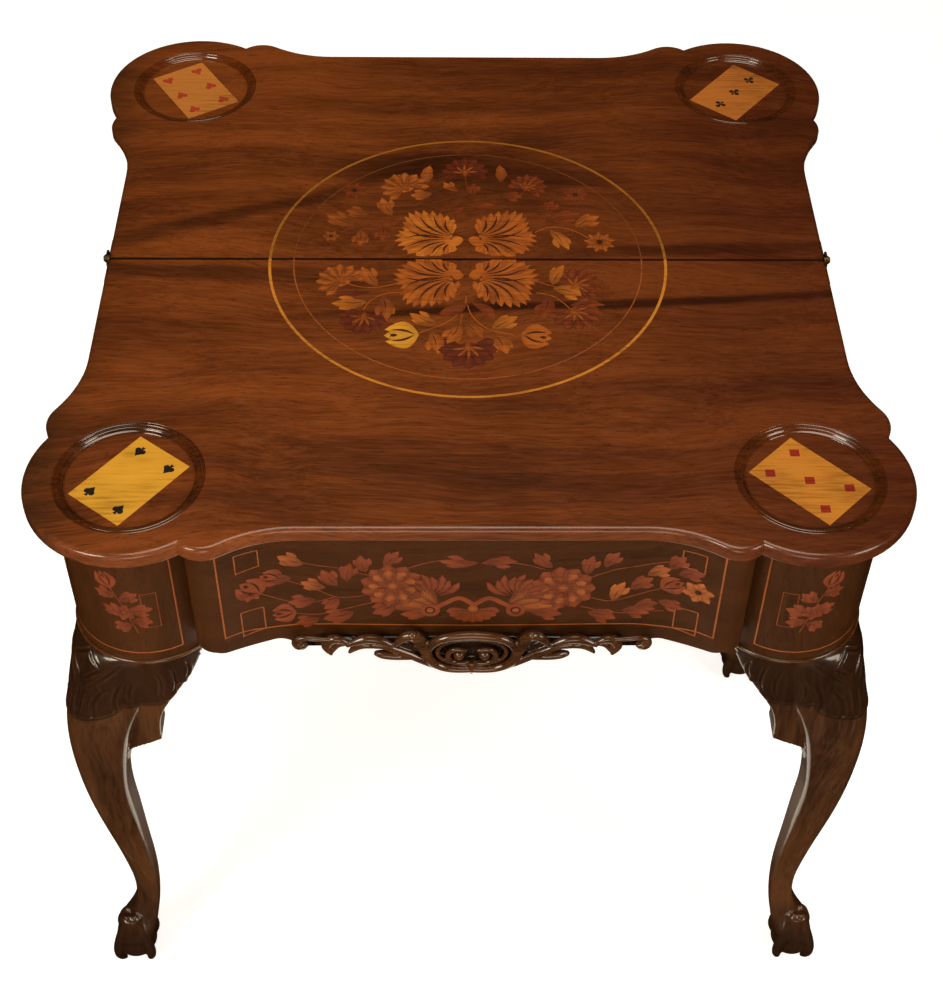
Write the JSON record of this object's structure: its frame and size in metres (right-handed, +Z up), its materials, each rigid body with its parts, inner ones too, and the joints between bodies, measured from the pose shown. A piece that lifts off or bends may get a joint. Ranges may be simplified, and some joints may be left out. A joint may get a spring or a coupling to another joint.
{
  "type": "card table",
  "caption": "Fold-over card table with a shaped top, counter wells, round frame corners and a swinging gate leg, standing open on cabriole legs with claw-and-ball feet.",
  "frame": {"origin": "on the floor under the middle of the open top, below the middle of the hinge line", "axes": "+X to the right of someone who faces the table's front, +Y to the back, +Z up"},
  "size_m": [0.8442, 0.823, 0.7694],
  "materials": {
    "top_veneer": "French-polished figured mahogany, glossy",
    "apron_veneer": "polished dark veneer with floral inlay",
    "frame_mahogany": "polished mahogany",
    "leg_mahogany": "dark polished carved mahogany",
    "back_timber": "plain waxed secondary timber",
    "stringing": "pale boxwood stringing, polished",
    "card_veneer": "golden satinwood veneer, polished",
    "red_pip": "red-stained veneer, polished",
    "black_pip": "black-stained veneer, polished",
    "hinge_brass": "aged brass",
    "pin_iron": "plain iron"
  },
  "bodies": {
    "frame": {"apron_carving": "leg_mahogany", "back_rail_screws": "hinge_brass", "corner_blocks": "back_timber", "diamonds_card": "card_veneer", "diamonds_pips": "red_pip", "fixed_leaf": "top_veneer", "fixed_leaf_line": "stringing", "fixed_leaf_ring": "stringing", "front_left_cross_bracket": "leg_mahogany", "front_left_leg": "leg_mahogany", "front_left_side_bracket": "leg_mahogany", "front_rail": "apron_veneer", "front_right_cross_bracket": "leg_mahogany", "front_right_leg": "leg_mahogany", "front_right_side_bracket": "leg_mahogany", "gate_pin": "pin_iron", "hinge_fixed_screws": "hinge_brass", "inner_back_rail": "back_timber", "leaf_screws": "hinge_brass", "left_hinge_fixed_plate": "hinge_brass", "left_hinge_pin": "hinge_brass", "left_side_rail": "frame_mahogany", "left_turret": "frame_mahogany", "outer_back_rail": "frame_mahogany", "rear_right_cross_bracket": "leg_mahogany", "rear_right_leg": "leg_mahogany", "rear_right_side_bracket": "leg_mahogany", "right_hinge_fixed_plate": "hinge_brass", "right_hinge_pin": "hinge_brass", "right_side_rail": "frame_mahogany", "right_turret": "frame_mahogany", "screw_blocks": "back_timber", "spades_card": "card_veneer", "spades_pips": "black_pip"},
    "folding_top": {"folding_leaf": "top_veneer", "folding_leaf_ring": "stringing", "folding_leaf_line": "stringing", "hearts_card": "card_veneer", "hearts_pips": "red_pip", "clubs_card": "card_veneer", "clubs_pips": "black_pip", "left_hinge_flap_plate": "hinge_brass", "right_hinge_flap_plate": "hinge_brass", "hinge_flap_screws": "hinge_brass"},
    "gate": {"gate_rail": "frame_mahogany", "gate_leg": "leg_mahogany", "gate_cross_bracket": "leg_mahogany", "gate_side_bracket": "leg_mahogany"}
  },
  "joints": [
    {"name": "leaf_fold", "type": "hinge", "parent": "frame", "child": "folding_top", "pos_m": [0, 0, 0.7652], "axis": [1, 0, 0], "range_deg": [0, 180]},
    {"name": "gate_swing", "type": "hinge", "parent": "frame", "child": "gate", "pos_m": [0.046, -0.048, 0.675], "axis": [0, 0, 1], "range_deg": [0, 90]}
  ]
}
